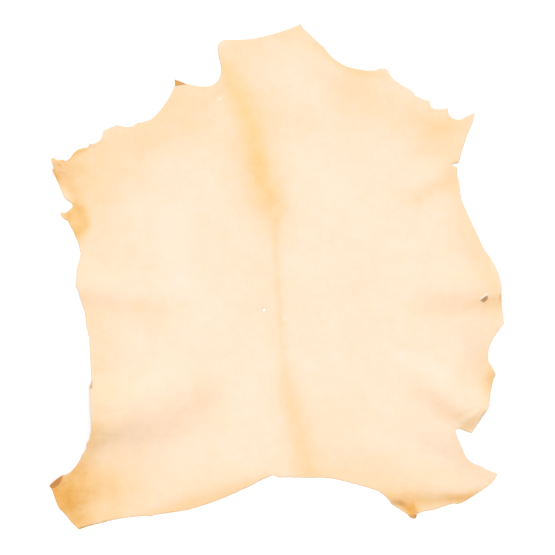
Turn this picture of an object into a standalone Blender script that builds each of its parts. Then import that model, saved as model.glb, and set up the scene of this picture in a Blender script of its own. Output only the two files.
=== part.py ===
"""A whole vegetable-tanned hide lying on the floor with its grain side up.

One sheet of leather, 1.5 mm thick and about 0.91 by 1.01 m, with the raw trimmed edge of a
whole skin: neck, forelegs, flanks, hind legs and tail cleft. The middle lies flat, the margins
lift in soft folds, and four tips curl over so that their flesh side shows.

Metres, +Z up, the neck toward +Y. The origin is at the bottom centre of the hide's box.
"""

import math
from typing import NamedTuple

import bpy
import numpy as np
from mathutils import Vector
from mathutils.geometry import delaunay_2d_cdt

MM = 0.001
NAME = "hide"

# Driving sizes
THICKNESS = 1.5 * MM
FINE_PITCH = 12.5 * MM
FLAT_PITCHES = 3
EDGE_PITCH = 11 * MM
CURL_PITCH = 1.6 * MM
CURL_LENGTHWAYS = 3 * MM
CURL_REACH = 10
EDGE_FADE = 1.5
EDGE_MARGIN = 0.55
HOLE_SIDES = 14
MERGE = 0.00001

# Natural pale leather
LEATHER_COLOUR = (0.93, 0.80, 0.62, 1.0)
LEATHER_ROUGHNESS = 0.62
LEATHER_METALLIC = 0.0


class Corner(NamedTuple):
    """A corner of the cut edge, in mm, and how far the edge bows outward up to the next one."""

    place: str
    x: float
    y: float
    bow: float = 0.0


class Hole(NamedTuple):
    """An oval hole: its centre and half lengths in mm, and the lean of its long axis in degrees."""

    place: str
    x: float
    y: float
    long: float
    short: float
    lean: float


class Fold(NamedTuple):
    """A lifted fold in mm: its ridge runs from the first point to the second and bows to its left.

    It is rise high at its first point and sinks to the floor at its second. Both ends sink
    where margin is set. Left and right are how far its slopes reach to each side.
    """

    place: str
    x: float
    y: float
    to_x: float
    to_y: float
    bow: float
    rise: float
    left: float
    right: float
    margin: bool = False


class Curl(NamedTuple):
    """A tip rolled up and over a hinge line, in mm.

    The hinge's centre, the bearing in degrees that the tip points to before it rolls, the half
    length of the hinge, the radius of the roll at the flesh side, and how far it turns.
    """

    place: str
    x: float
    y: float
    bearing: float
    half_length: float
    radius: float
    turn: float


# The edge runs clockwise as seen from above, in a table for each part of the skin.
NECK = (
    Corner("throat end of the neck", -118, 455, 4.5),
    Corner("left corner", -104, 472),
    Corner("top", -59, 473, -3.5),
    Corner("under the tip", 42, 501.5),
    Corner("tip", 47, 505),
    Corner("start of the slope", 51, 496.5),
    Corner("foot of the slope", 94, 456.5, -9.5),
    Corner("hollow", 162, 414, -1.5),
    Corner("rise", 196, 411),
    Corner("end", 205, 415),
)
RIGHT_SHOULDER = (
    Corner("corner", 218, 415),
    Corner("first dip", 231, 395.5, -1),
    Corner("swell", 262, 374.5, 2),
    Corner("second dip", 275, 361, -1),
    Corner("first step", 304.5, 350),
    Corner("foot of the first step", 305, 344.5, -2.5),
    Corner("second step", 316, 334),
    Corner("end of the second step", 334, 333.5),
    Corner("pip", 341, 336),
    Corner("foot of the pip", 343.5, 322, -3.5),
    Corner("hollow before the leg", 367.5, 313),
    Corner("start of the leg", 380, 320),
)
RIGHT_FORELEG = (
    Corner("tip", 394.5, 326),
    Corner("under the tip", 390, 306, -2.2),
    Corner("upper lip of the notch", 363, 227),
    Corner("notch", 354, 226.7, -4.5),
    Corner("notch", 354, 218.7),
    Corner("lower lip of the notch", 360.5, 216.5, -1),
    Corner("armpit", 360, 199, 2),
    Corner("below the armpit", 365, 167, 1),
    Corner("start of the side", 368, 153, -0.5),
)
RIGHT_SIDE = (
    Corner("shoulder of the side", 409, 62),
    Corner("swell", 417, 48, 4.8),
    Corner("straight", 446, -14, -1.3),
    Corner("flank corner", 453.5, -94.5, -0.5),
    Corner("scallop", 430, -127, -3.7),
    Corner("foot of the scallop", 422.5, -170),
    Corner("point", 436, -196),
    Corner("under the point", 432, -204, -0.5),
    Corner("above the flap", 423, -254, 2.5),
    Corner("shoulder of the flap", 409, -278),
    Corner("tip of the flap", 389, -313),
    Corner("inner corner of the flap", 366, -304.7, 0.5),
    Corner("root of the tear", 356, -304.3),
)
RIGHT_HIND_LEG = (
    Corner("below the tear", 358, -316),
    Corner("thigh", 376, -359.5, -3),
    Corner("hock", 402, -378, -1),
    Corner("tip", 440.5, -395, 3),
    Corner("sole", 417, -422),
    Corner("middle of the sole", 376, -448.5, 0.5),
    Corner("nub", 361, -454.5),
    Corner("after the nub", 352.5, -453),
    Corner("second nub", 313.5, -466.2),
    Corner("straight", 294, -469.5, -0.5),
    Corner("start of the roll", 279, -475.8),
    Corner("rolled side", 286, -478.5),
    Corner("rolled end", 283.5, -487),
    Corner("point", 274.5, -485.5, 1),
    Corner("inner side of the point", 262.5, -475.5),
    Corner("above the point", 229.5, -455, -2.7),
)
RUMP = (
    Corner("right buttock", 201, -428, -1),
    Corner("right of the middle", 125.5, -407, -1.8),
    Corner("under the spine", 77.5, -402),
    Corner("right of the cleft", 2, -401.5, -0.5),
    Corner("tail cleft", -8.5, -397),
    Corner("left of the cleft", -34, -407.5, 5),
    Corner("left buttock", -179, -466.5, 0.5),
    Corner("before the nub", -245, -476),
    Corner("nub", -253, -479.5),
    Corner("after the nub", -262, -478),
    Corner("start of the leg", -308, -482.5, -1.5),
)
LEFT_HIND_LEG = (
    Corner("lower corner", -396.5, -505.5, 1),
    Corner("sole", -423, -475.5),
    Corner("upper sole", -435, -463.5, 1),
    Corner("start of the roll", -447.5, -431),
    Corner("end of the hinge", -453.5, -421),
    Corner("rolled tip", -460, -409.5, 2.5),
    Corner("end of the roll", -425, -398.5),
    Corner("hock", -412, -391.5, -2),
    Corner("thigh", -388.5, -356),
    Corner("swell", -381.5, -346, -1),
    Corner("upper thigh", -379.5, -334),
    Corner("start of the flank", -373.5, -325),
)
LEFT_SIDE = (
    Corner("flank", -368.7, -304.5, -0.4),
    Corner("foot of the nick", -372, -234),
    Corner("nick", -375, -223.5),
    Corner("top of the nick", -370.5, -211),
    Corner("straight", -375, -123.5),
    Corner("belly", -381, -99.5, -1.8),
    Corner("swell", -389, -56, 0.3),
    Corner("below the point", -395.5, -26.5),
    Corner("point", -401, -17.3),
    Corner("above the point", -399.3, -10),
    Corner("hollow", -399, 12),
    Corner("top of the hollow", -392, 46.5, 0.5),
    Corner("armpit", -395.5, 62, -1),
)
LEFT_FORELEG = (
    Corner("elbow", -418.5, 112, 1),
    Corner("under the barb", -430, 120),
    Corner("barb", -433, 126.5),
    Corner("lower lip of the notch", -422, 127.2, -1),
    Corner("notch", -407.5, 140.3, -2),
    Corner("upper lip of the notch", -421, 153),
    Corner("shin", -425, 158.5),
    Corner("top of the shin", -448.5, 212),
    Corner("pinch", -444, 216.5),
    Corner("rolled tip", -452, 236.5),
    Corner("above the tip", -446, 235.3),
    Corner("dip", -437.5, 230.5),
    Corner("ripple", -428.4, 232.2),
    Corner("foot of the swell", -422, 228.5),
    Corner("swell", -412.5, 236, 6),
    Corner("end of the swell", -380, 256.7, -1),
    Corner("hollow", -375, 264.5, -9),
    Corner("end of the hollow", -347, 290.5),
)
LEFT_SHOULDER = (
    Corner("start", -321, 301.7),
    Corner("dip", -307, 298.5),
    Corner("end of the dip", -289, 298.3),
    Corner("bump", -278, 306.2, -1),
    Corner("foot of the ear", -250, 313.7, -4.6),
    Corner("side of the ear", -204, 381.5),
    Corner("left end of the ear's roll", -204, 394.5),
    Corner("rolled tip of the ear", -193.2, 407.5),
    Corner("right end of the ear's roll", -181.5, 385.5, -1.8),
    Corner("start of the throat", -141.5, 379, -8.8),
    Corner("throat", -110.5, 410, -1),
    Corner("top of the throat", -112.5, 427, 1),
)
EDGE = (
    NECK
    + RIGHT_SHOULDER
    + RIGHT_FORELEG
    + RIGHT_SIDE
    + RIGHT_HIND_LEG
    + RUMP
    + LEFT_HIND_LEG
    + LEFT_SIDE
    + LEFT_FORELEG
    + LEFT_SHOULDER
)

HOLES = (
    Hole("back", -25.2, -66.5, 5.2, 3.4, 62),
    Hole("right side", 413.5, -41.5, 11, 4, 44),
)

FOLDS = (
    Fold("left side", -402, -24, -170, -50, 3, 7, 66, 44),
    Fold("left thigh", -378, -262, -100, -150, -26, 14, 70, 120),
    Fold("right side", 452, -24, 235, -36, -4, 7, 48, 62),
    Fold("right armpit", 366, 216, 240, 176, 4, 5, 30, 44),
    Fold("right thigh", 392, -268, 235, -176, 4, 6, 50, 60),
    Fold("flap of the tear", 414, -262, 350, -302, 0, 4, 28, 16),
    Fold("right side point", 442, -188, 392, -196, 0, 5, 26, 26),
    Fold("sole of the right hind leg", 430, -426, 205, -424, -4, 8, 36, 80, True),
    Fold("left buttock", -6, -372, -312, -458, 14, 3, 30, 50, True),
    Fold("left hock", -320, -300, -440, -392, -14, 4, 34, 44),
    Fold("left hind leg", -368, -372, -404, -492, -6, 7, 44, 56, True),
    Fold("right of the neck", 35, 470, 168, 384, -9, 3, 30, 44, True),
    Fold("throat", -100, 446, -88, 366, -6, 3, 30, 30, True),
    Fold("right side swell", 350, 155, 436, -25, -6, 3, 30, 34, True),
    Fold("left shoulder", -340, 262, -200, 330, -14, 2.5, 30, 44, True),
    Fold("left foreleg", -454, 224, -372, 205, 3, 6, 26, 30),
)

CURLS = (
    Curl("ear", -193.9, 387.2, 68.2, 15, 3, 165),
    Curl("left hind leg", -438.6, -410.6, 128.3, 24, 3.2, 165),
    Curl("lower point", 274.7, -479.8, -18.8, 8, 2.6, 150),
    Curl("left foreleg", -447.3, 233.4, 158, 7, 2.6, 120),
)


def clear_scene():
    """Removes whatever the scene holds."""
    for thing in list(bpy.data.objects):
        bpy.data.objects.remove(thing, do_unlink=True)


def unit(degrees):
    """The unit vector at this bearing, counted from +X toward +Y."""
    turn = math.radians(degrees)
    return np.array((math.cos(turn), math.sin(turn)))


def arc(start, end, bow, pitch):
    """Points from start up to but not including end, along an arc that rises by bow on its left."""
    chord = end - start
    length = math.hypot(*chord)
    along = chord / length
    across = np.array((-along[1], along[0]))
    count = max(1, round(length / pitch))
    if bow == 0:
        return [start + chord * (step / count) for step in range(count)]
    half_angle = 2 * math.atan(2 * bow / length)
    radius = length / (2 * math.sin(half_angle))
    centre = (start + end) / 2 + across * (bow - radius)
    turns = np.linspace(-half_angle, half_angle, count + 1)[:-1]
    return [centre + radius * (math.sin(t) * along + math.cos(t) * across) for t in turns]


def curl_frame(curl, points):
    """How far each point lies past the curl's hinge, and how far along it, both in metres."""
    out = unit(curl.bearing)
    beside = np.array((-out[1], out[0]))
    offset = points - np.array((curl.x, curl.y)) * MM
    return offset @ out, offset @ beside


def in_curl(points, slack):
    """Which points lie on a tip that rolls, or within slack of one."""
    found = np.zeros(len(points), bool)
    for curl in CURLS:
        past, beside = curl_frame(curl, points)
        reach = CURL_REACH * curl.radius * MM
        found |= (past > -slack) & (past < reach) & (abs(beside) < curl.half_length * MM + slack)
    return found


def cut_edge():
    """The outline as a closed list of points, closer together where a tip rolls."""
    corners = [np.array((corner.x, corner.y)) * MM for corner in EDGE]
    edge = []
    for index, corner in enumerate(EDGE):
        start, end = corners[index], corners[(index + 1) % len(corners)]
        length = math.hypot(*(end - start))
        bowed = min(EDGE_PITCH, max(length / 4, CURL_PITCH)) if corner.bow else EDGE_PITCH
        near_curl = in_curl(np.array((start, (start + end) / 2, end)), CURL_PITCH).any()
        edge += arc(start, end, corner.bow * MM, CURL_PITCH if near_curl else bowed)
    return np.array(edge)


def hole_edge(hole):
    """The rim of an oval hole."""
    turns = np.arange(HOLE_SIDES) * math.tau / HOLE_SIDES
    along, across = unit(hole.lean), unit(hole.lean + 90)
    centre = np.array((hole.x, hole.y))
    rim = centre + hole.long * np.outer(np.cos(turns), along) + hole.short * np.outer(np.sin(turns), across)
    return rim * MM


def inside(points, loop):
    """Which points lie inside the closed loop."""
    found = np.zeros(len(points), bool)
    for start, end in zip(loop, np.roll(loop, -1, axis=0)):
        crosses = (start[1] > points[:, 1]) != (end[1] > points[:, 1])
        if start[1] == end[1]:
            continue
        at = start[0] + (points[:, 1] - start[1]) / (end[1] - start[1]) * (end[0] - start[0])
        found ^= crosses & (points[:, 0] < at)
    return found


def distance_to(points, loop):
    """How far each point lies from the closed loop."""
    nearest = np.full(len(points), np.inf)
    for start, end in zip(loop, np.roll(loop, -1, axis=0)):
        side = end - start
        share = np.clip((points - start) @ side / (side @ side), 0, 1)
        nearest = np.minimum(nearest, np.hypot(*(points - start - share[:, None] * side).T))
    return nearest


def smooth(share):
    """An even step from 0 to 1 with level ends."""
    share = np.clip(share, 0, 1)
    return share * share * (3 - 2 * share)


def fold_height(fold, points):
    """How far this fold lifts the flesh side at each point."""
    start, end = np.array((fold.x, fold.y)) * MM, np.array((fold.to_x, fold.to_y)) * MM
    length = math.hypot(*(end - start))
    along = (end - start) / length
    across = np.array((-along[1], along[0]))
    share = (points - start) @ along / length
    ridge = 4 * fold.bow * MM * np.clip(share, 0, 1) * (1 - np.clip(share, 0, 1))
    off = (points - start) @ across - ridge
    reach = np.where(off > 0, fold.left, fold.right) * MM
    section = np.where(abs(off) < reach, np.cos(off / reach * math.pi / 2) ** 2, 0)
    if fold.margin:
        lift = smooth(2 * share) * smooth(2 * (1 - share))
    else:
        fade = EDGE_FADE * max(fold.left, fold.right) * MM
        lift = np.where(share > 0, smooth(1 - share), smooth(1 + share * length / fade))
    return fold.rise * MM * section * lift


def flesh_height(points):
    """The height of the flesh side before its tips are rolled."""
    return sum(fold_height(fold, points) for fold in FOLDS)


def rolled(points, heights):
    """The flesh side's points in space, with each tip rolled up over its hinge."""
    placed = np.column_stack((points, heights))
    for curl in CURLS:
        past, beside = curl_frame(curl, points)
        on_tip = (past > 0) & (abs(beside) < curl.half_length * MM) & in_curl(points, 0)
        radius = curl.radius * MM
        turn = math.radians(curl.turn)
        angle = np.minimum(past / radius, turn)
        straight = np.maximum(past - radius * turn, 0)
        outward = radius * np.sin(angle) + straight * math.cos(turn) - past
        upward = radius * (1 - np.cos(angle)) + straight * math.sin(turn)
        move = np.column_stack((np.outer(outward, unit(curl.bearing)), upward))
        placed[on_tip] += move[on_tip]
    return placed


def grid_points(edge, rims):
    """Points across the skin in a triangular grid: fine on the folds and wide where it is flat."""
    low, high = edge.min(axis=0), edge.max(axis=0)
    row_pitch = FINE_PITCH * math.sqrt(3) / 2
    rows = round((high[1] - low[1]) / row_pitch) + 1
    columns = round((high[0] - low[0]) / FINE_PITCH) + rows
    row, column = (index.ravel() for index in np.mgrid[0:rows, -rows:columns])
    points = low + np.column_stack((column * FINE_PITCH + row * FINE_PITCH / 2, row * row_pitch))
    wide = (row % FLAT_PITCHES == 0) & (column % FLAT_PITCHES == 0)
    kept = inside(points, edge)
    points, wide = points[kept], wide[kept]
    points = points[wide | (flesh_height(points) > 0)]
    room = np.min([distance_to(points, loop) for loop in (edge, *rims)], axis=0)
    return points[(room > EDGE_MARGIN * FINE_PITCH) & ~in_curl(points, CURL_LENGTHWAYS)]


def curl_points(edge):
    """Rows of points across each roll, close enough together to bend round it."""
    found = []
    for curl in CURLS:
        out = unit(curl.bearing)
        beside = np.array((-out[1], out[0]))
        past = np.arange(-2 * CURL_LENGTHWAYS, CURL_REACH * curl.radius * MM, CURL_PITCH)
        side = np.arange(-curl.half_length * MM, curl.half_length * MM, CURL_LENGTHWAYS)
        row, column = np.meshgrid(past, side)
        centre = np.array((curl.x, curl.y)) * MM
        found.append(centre + np.outer(row.ravel(), out) + np.outer(column.ravel(), beside))
    points = np.concatenate(found)
    points = points[inside(points, edge)]
    return points[distance_to(points, edge) > EDGE_MARGIN * CURL_PITCH]


def loop_sides(first, count):
    """The sides of a closed loop of points numbered from first."""
    return [(first + step, first + (step + 1) % count) for step in range(count)]


def flat_pattern():
    """The skin as it would lie if pressed flat: its points and its triangles."""
    edge = cut_edge()
    rims = [hole_edge(hole) for hole in HOLES]
    loops = [edge, *rims]
    sides = []
    for loop in loops:
        sides += loop_sides(sides[-1][0] + 1 if sides else 0, len(loop))
    points = np.concatenate(loops + [grid_points(edge, rims), curl_points(edge)])
    corners, _, faces, *_ = delaunay_2d_cdt([Vector(p) for p in points], sides, [], 1, MERGE)
    points = np.array([tuple(corner) for corner in corners])
    faces = np.array(faces)
    middles = points[faces].mean(axis=1)
    on_skin = inside(middles, edge)
    for rim in rims:
        on_skin &= ~inside(middles, rim)
    return points, faces[on_skin]


def build_hide():
    """The hide: its flesh side as an open sheet, given its thickness by Solidify."""
    points, faces = flat_pattern()
    placed = rolled(points, flesh_height(points))
    low, high = placed.min(axis=0), placed.max(axis=0)
    placed[:, :2] -= (low[:2] + high[:2]) / 2
    used, faces = np.unique(faces, return_inverse=True)
    mesh = bpy.data.meshes.new(NAME)
    mesh.from_pydata(placed[used].tolist(), [], faces.reshape(-1, 3).tolist())
    mesh.validate()
    mesh.shade_smooth()
    hide = bpy.data.objects.new(NAME, mesh)
    solidify = hide.modifiers.new("thickness", "SOLIDIFY")
    solidify.thickness = THICKNESS
    solidify.offset = 1
    return hide


def leather():
    """Natural vegetable-tanned leather."""
    material = bpy.data.materials.new("leather")
    material.use_nodes = True
    shader = material.node_tree.nodes["Principled BSDF"]
    shader.inputs["Base Color"].default_value = LEATHER_COLOUR
    shader.inputs["Roughness"].default_value = LEATHER_ROUGHNESS
    shader.inputs["Metallic"].default_value = LEATHER_METALLIC
    return material


def main():
    """Builds the hide in a collection of its own."""
    clear_scene()
    collection = bpy.data.collections.new("leather hide")
    bpy.context.scene.collection.children.link(collection)
    hide = build_hide()
    hide.data.materials.append(leather())
    collection.objects.link(hide)


main()
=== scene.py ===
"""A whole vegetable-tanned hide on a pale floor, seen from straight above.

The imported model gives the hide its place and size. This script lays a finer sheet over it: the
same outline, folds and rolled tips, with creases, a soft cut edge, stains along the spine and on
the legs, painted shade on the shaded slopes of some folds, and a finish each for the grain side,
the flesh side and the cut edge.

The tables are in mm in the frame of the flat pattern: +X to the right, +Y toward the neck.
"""

import logging
import math
from collections.abc import Sequence
from dataclasses import dataclass
from enum import Enum, IntEnum

import bpy
import numpy as np
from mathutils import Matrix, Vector, noise
from mathutils.geometry import delaunay_2d_cdt


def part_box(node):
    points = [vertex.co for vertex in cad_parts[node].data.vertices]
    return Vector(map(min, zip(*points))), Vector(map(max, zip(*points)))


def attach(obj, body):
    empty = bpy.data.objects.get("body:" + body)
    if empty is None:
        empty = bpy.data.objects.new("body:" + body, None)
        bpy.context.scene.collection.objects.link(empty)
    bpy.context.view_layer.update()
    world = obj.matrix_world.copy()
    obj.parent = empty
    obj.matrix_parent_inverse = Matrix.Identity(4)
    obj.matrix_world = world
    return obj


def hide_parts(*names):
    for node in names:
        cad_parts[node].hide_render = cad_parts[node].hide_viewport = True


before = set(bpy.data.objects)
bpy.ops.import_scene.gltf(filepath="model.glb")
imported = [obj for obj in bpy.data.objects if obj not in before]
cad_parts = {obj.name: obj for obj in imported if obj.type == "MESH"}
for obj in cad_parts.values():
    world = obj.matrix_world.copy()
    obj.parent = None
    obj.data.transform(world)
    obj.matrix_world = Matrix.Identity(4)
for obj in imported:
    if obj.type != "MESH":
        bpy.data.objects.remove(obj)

LOG = logging.getLogger("hide")
MM = 0.001
NODE = "hide"
BODY = "root"

Array = np.ndarray


class Tone(Enum):
    """The tones of the grain side, by the name of the mesh attribute that holds each.

    The tan tone is how deep the tannage has coloured the skin, and along some folds it also holds
    painted shade, warm on their shaded slopes. The painted shade tone is a soft grey painted where
    the slopes of folds and the lip below the slit lie in shade. Brown is burnt or dirty skin, darker
    lines along some creases, and the painted flesh side of a rolled lip below the slit, and a scar
    is pale. Gold is skin that its own fat has yellowed.
    """

    TAN = "tan_and_shade"
    GOLD = "gold"
    PAINTED_SHADE = "painted_shade"
    BROWN = "brown"
    SCAR = "scar"


class Side(IntEnum):
    """The faces of the sheet, by their place in its list of materials."""

    GRAIN = 0
    FLESH = 1
    EDGE = 2


@dataclass(frozen=True)
class Corner:
    """A corner of the cut edge, and how far the edge bows outward up to the next one."""

    place: str
    x: float
    y: float
    bow: float = 0.0


@dataclass(frozen=True)
class Hole:
    """An oval hole: its centre, its half lengths and the lean of its long axis in degrees."""

    place: str
    x: float
    y: float
    long: float
    short: float
    lean: float


@dataclass(frozen=True)
class Fold:
    """A lifted fold: its ridge runs from the first point to the second and bows to its left.

    It is rise high at its first point and sinks to the floor at its second. Both ends sink
    where margin is set. Left and right are how far its slopes reach to each side.
    """

    place: str
    x: float
    y: float
    to_x: float
    to_y: float
    bow: float
    rise: float
    left: float
    right: float
    margin: bool = False


@dataclass(frozen=True)
class Crease:
    """A soft line in the grain side alone: a groove where depth is below zero, else a ridge."""

    place: str
    x: float
    y: float
    to_x: float
    to_y: float
    bow: float
    depth: float
    width: float


@dataclass(frozen=True)
class Curl:
    """A tip rolled up and over a hinge line.

    The hinge's centre, the bearing in degrees that the tip points to before it rolls, the half
    length of the hinge, the radius of the roll at the flesh side, how far it turns, and how far
    the hinge bows toward the tip.
    """

    place: str
    x: float
    y: float
    bearing: float
    half_length: float
    radius: float
    turn: float
    bow: float = 0.0


@dataclass(frozen=True)
class Station:
    """A row of a band: its middle, its reach to the left and right, and its strength."""

    x: float
    y: float
    left: float
    right: float
    strength: float


@dataclass(frozen=True)
class Band:
    """A band of one tone through its stations.

    The power is how square its section is: 2 is soft, and more keeps the middle even and makes
    the sides quicker.
    """

    tone: Tone
    place: str
    stations: tuple[Station, ...]
    power: float = 2.0


# The edge runs clockwise as seen from above, in a table for each part of the skin.
NECK = (
    Corner("throat end of the neck", -118, 455, 4.5),
    Corner("left corner", -104, 472),
    Corner("top", -59, 473, -3.5),
    Corner("under the tip", 42, 501.5),
    Corner("tip", 47, 505),
    Corner("start of the slope", 51, 496.5),
    Corner("foot of the slope", 94, 456.5, -9.5),
    Corner("hollow", 162, 414, -1.5),
    Corner("rise", 196, 411),
    Corner("end", 205, 415),
)
RIGHT_SHOULDER = (
    Corner("corner", 218, 415),
    Corner("first dip", 231, 395.5, -1),
    Corner("swell", 262, 374.5, 2),
    Corner("second dip", 275, 361, -1),
    Corner("first step", 304.5, 350),
    Corner("foot of the first step", 305, 344.5, -2.5),
    Corner("second step", 316, 334),
    Corner("end of the second step", 334, 333.5),
    Corner("pip", 341, 336),
    Corner("foot of the pip", 343.5, 322, -3.5),
    Corner("hollow before the leg", 367.5, 313),
    Corner("start of the leg", 380, 320),
)
RIGHT_FORELEG = (
    Corner("tip", 394.5, 326),
    Corner("under the tip", 390, 306, -2.2),
    Corner("upper lip of the notch", 363, 227),
    Corner("notch", 354, 226.7, -4.5),
    Corner("notch", 354, 218.7),
    Corner("lower lip of the notch", 360.5, 216.5, -1),
    Corner("armpit", 360, 199, 2),
    Corner("below the armpit", 365, 167, 1),
    Corner("start of the side", 368, 153, -0.5),
)
RIGHT_SIDE = (
    Corner("shoulder of the side", 409, 62),
    Corner("swell", 417, 48, 4.8),
    Corner("straight", 446, -14, -1.3),
    Corner("flank corner", 453.5, -94.5, -0.5),
    Corner("scallop", 430, -127, -3.7),
    Corner("foot of the scallop", 422.5, -170),
    Corner("point", 436, -196),
    Corner("under the point", 432, -204, -0.5),
    Corner("above the flap", 423, -254, 2.5),
    Corner("shoulder of the flap", 409, -278),
    Corner("tip of the flap", 389, -313),
    Corner("inner corner of the flap", 366, -304.7, 0.5),
    Corner("root of the tear", 356, -304.3),
)
RIGHT_HIND_LEG = (
    Corner("below the tear", 358, -316),
    Corner("thigh", 376, -359.5, -3),
    Corner("hock", 402, -378, -1),
    Corner("tip", 440.5, -395, 3),
    Corner("sole", 417, -422),
    Corner("middle of the sole", 376, -448.5, 0.5),
    Corner("nub", 361, -454.5),
    Corner("after the nub", 352.5, -453),
    Corner("second nub", 313.5, -466.2),
    Corner("straight", 294, -469.5, -0.5),
    Corner("start of the roll", 279, -475.8),
    Corner("rolled side", 286, -478.5),
    Corner("rolled end", 283.5, -484.5),
    Corner("point", 269.5, -483.5, 1),
    Corner("inner side of the point", 261, -475),
    Corner("above the point", 229.5, -455, -2.7),
)
RUMP = (
    Corner("right buttock", 201, -428, -1),
    Corner("right of the middle", 125.5, -407, -1.8),
    Corner("under the spine", 77.5, -402),
    Corner("right of the cleft", 2, -401.5, -0.5),
    Corner("tail cleft", -8.5, -397),
    Corner("left of the cleft", -34, -407.5, 5),
    Corner("left buttock", -179, -466.5, 0.5),
    Corner("before the nub", -245, -476),
    Corner("nub", -253, -479.5),
    Corner("after the nub", -262, -478),
    Corner("start of the leg", -308, -482.5, -1.5),
)
LEFT_HIND_LEG = (
    Corner("lower corner", -396.5, -505.5, 1),
    Corner("sole", -423, -475.5),
    Corner("upper sole", -435, -463.5, 1),
    Corner("start of the roll", -447.5, -431),
    Corner("end of the hinge", -453.5, -421),
    Corner("rolled tip", -460, -409.5, 9.5),
    Corner("end of the roll", -425, -398.5),
    Corner("hock", -412, -391.5, -2),
    Corner("thigh", -388.5, -356),
    Corner("swell", -381.5, -346, -1),
    Corner("upper thigh", -379.5, -334),
    Corner("start of the flank", -373.5, -325),
)
LEFT_SIDE = (
    Corner("flank", -368.7, -304.5, -0.4),
    Corner("foot of the nick", -372, -234),
    Corner("nick", -375, -223.5),
    Corner("top of the nick", -370.5, -211),
    Corner("straight", -375, -123.5),
    Corner("belly", -381, -99.5, -1.8),
    Corner("swell", -389, -56, 0.3),
    Corner("below the point", -395.5, -26.5),
    Corner("point", -401, -17.3),
    Corner("above the point", -399.3, -10),
    Corner("hollow", -399, 12),
    Corner("top of the hollow", -392, 46.5, 0.5),
    Corner("armpit", -395.5, 62, -1),
)
LEFT_FORELEG = (
    Corner("elbow", -418.5, 112, 1),
    Corner("under the barb", -430, 120),
    Corner("barb", -433, 126.5),
    Corner("lower lip of the notch", -422, 127.2, -1),
    Corner("notch", -407.5, 140.3, -2),
    Corner("upper lip of the notch", -421, 153),
    Corner("shin", -425, 158.5),
    Corner("top of the shin", -448.5, 212),
    Corner("pinch", -444, 216.5),
    Corner("rolled tip", -452, 236.5),
    Corner("above the tip", -446, 235.3),
    Corner("dip", -437.5, 230.5),
    Corner("ripple", -428.4, 232.2),
    Corner("foot of the swell", -422, 228.5),
    Corner("swell", -412.5, 236, 6),
    Corner("end of the swell", -380, 256.7, -1),
    Corner("hollow", -375, 264.5, -9),
    Corner("end of the hollow", -347, 290.5),
)
LEFT_SHOULDER = (
    Corner("start", -321, 301.7),
    Corner("dip", -307, 298.5),
    Corner("end of the dip", -289, 298.3),
    Corner("bump", -278, 306.2, -1),
    Corner("foot of the ear", -250, 313.7, -4.6),
    Corner("side of the ear", -204, 381.5),
    Corner("left end of the ear's roll", -204, 393.5),
    Corner("rolled tip of the ear", -194, 404.5),
    Corner("right end of the ear's roll", -181.5, 385.5, -1.8),
    Corner("start of the throat", -141.5, 379, -8.8),
    Corner("throat", -110.5, 410, -1),
    Corner("top of the throat", -112.5, 427, 1),
)
EDGE = (
    NECK
    + RIGHT_SHOULDER
    + RIGHT_FORELEG
    + RIGHT_SIDE
    + RIGHT_HIND_LEG
    + RUMP
    + LEFT_HIND_LEG
    + LEFT_SIDE
    + LEFT_FORELEG
    + LEFT_SHOULDER
)

HOLES = (
    Hole("back", -25.2, -66.5, 5.2, 3.4, 62),
    Hole("right side", 413.6, -42.6, 7.4, 0.6, 35),
)

FOLDS = (
    Fold("left side", -402, -24, -170, -50, 3, 7, 66, 44),
    Fold("left thigh", -378, -262, -100, -150, -26, 14, 70, 120),
    Fold("right side", 452, -24, 235, -36, -4, 7, 48, 62),
    Fold("right armpit", 336, 206, 230, 172, 4, 2.4, 30, 44),
    Fold("right thigh", 392, -268, 235, -176, 4, 6, 50, 60),
    Fold("flap of the tear", 414, -262, 350, -302, 0, 1.2, 28, 16),
    Fold("right side point", 442, -188, 392, -196, 0, 5, 26, 26),
    Fold("sole of the right hind leg", 430, -426, 205, -424, -4, 8, 36, 80, True),
    Fold("left buttock", -6, -372, -312, -458, 14, 3, 30, 50, True),
    Fold("left hock", -320, -300, -440, -392, -14, 4, 34, 44),
    Fold("left hind leg", -368, -372, -404, -492, -6, 7, 44, 56, True),
    Fold("right of the neck", 35, 470, 168, 384, -9, 3, 30, 44, True),
    Fold("throat", -100, 446, -88, 366, -6, 3, 30, 30, True),
    Fold("right side swell", 350, 155, 436, -25, -6, 3, 30, 34, True),
    Fold("left shoulder", -340, 262, -200, 330, -14, 2.5, 30, 44, True),
    Fold("left foreleg", -454, 224, -372, 205, 3, 6, 26, 30),
)

CURLS = (
    Curl("ear", -193.9, 387.2, 68.2, 15, 2.0, 187),
    Curl("left hind leg", -438.6, -410.6, 128.3, 24, 3, 180, bow=2.4),
    Curl("lower point", 274.7, -479.8, -18.8, 8, 2.6, 160, bow=0.8),
    Curl("left foreleg", -447.3, 233.4, 158, 7, 2.6, 120),
)

CREASES = (
    Crease("left thigh", -368, -276, -290, -262, -3, -0.4, 5),
    Crease("left thigh, lower", -369, -312, -310, -318, -2, -0.5, 5),
    Crease("rolled left edge", -370, -128, -368, -222, 1, -0.6, 2.2),
    Crease("flap of the tear, upper", 356, -286, 408, -260, 1.5, -0.5, 3),
    Crease("flap of the tear, lower", 364, -294, 408, -268, 1.5, 0.45, 3),
    Crease("left foreleg, first", -440, 222, -412, 216, 2, -0.45, 2.4),
    Crease("left foreleg, second", -436, 214, -400, 204, 2, -0.4, 2.8),
    Crease("left foreleg, third", -430, 198, -398, 190, -2, -0.35, 3),
    Crease("left foreleg, top", -380, 250, -352, 258, 2, -0.4, 3),
    Crease("right side, at the slit", 420, -52, 450, -46, 2, -0.5, 3),
)

def band(tone: Tone, place: str, *rows: tuple[float, ...], power: float = 2.0) -> Band:
    """A band from its rows of x, y, reach to the left, reach to the right and strength."""
    return Band(tone, place, tuple(Station(*row) for row in rows), power)


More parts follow.
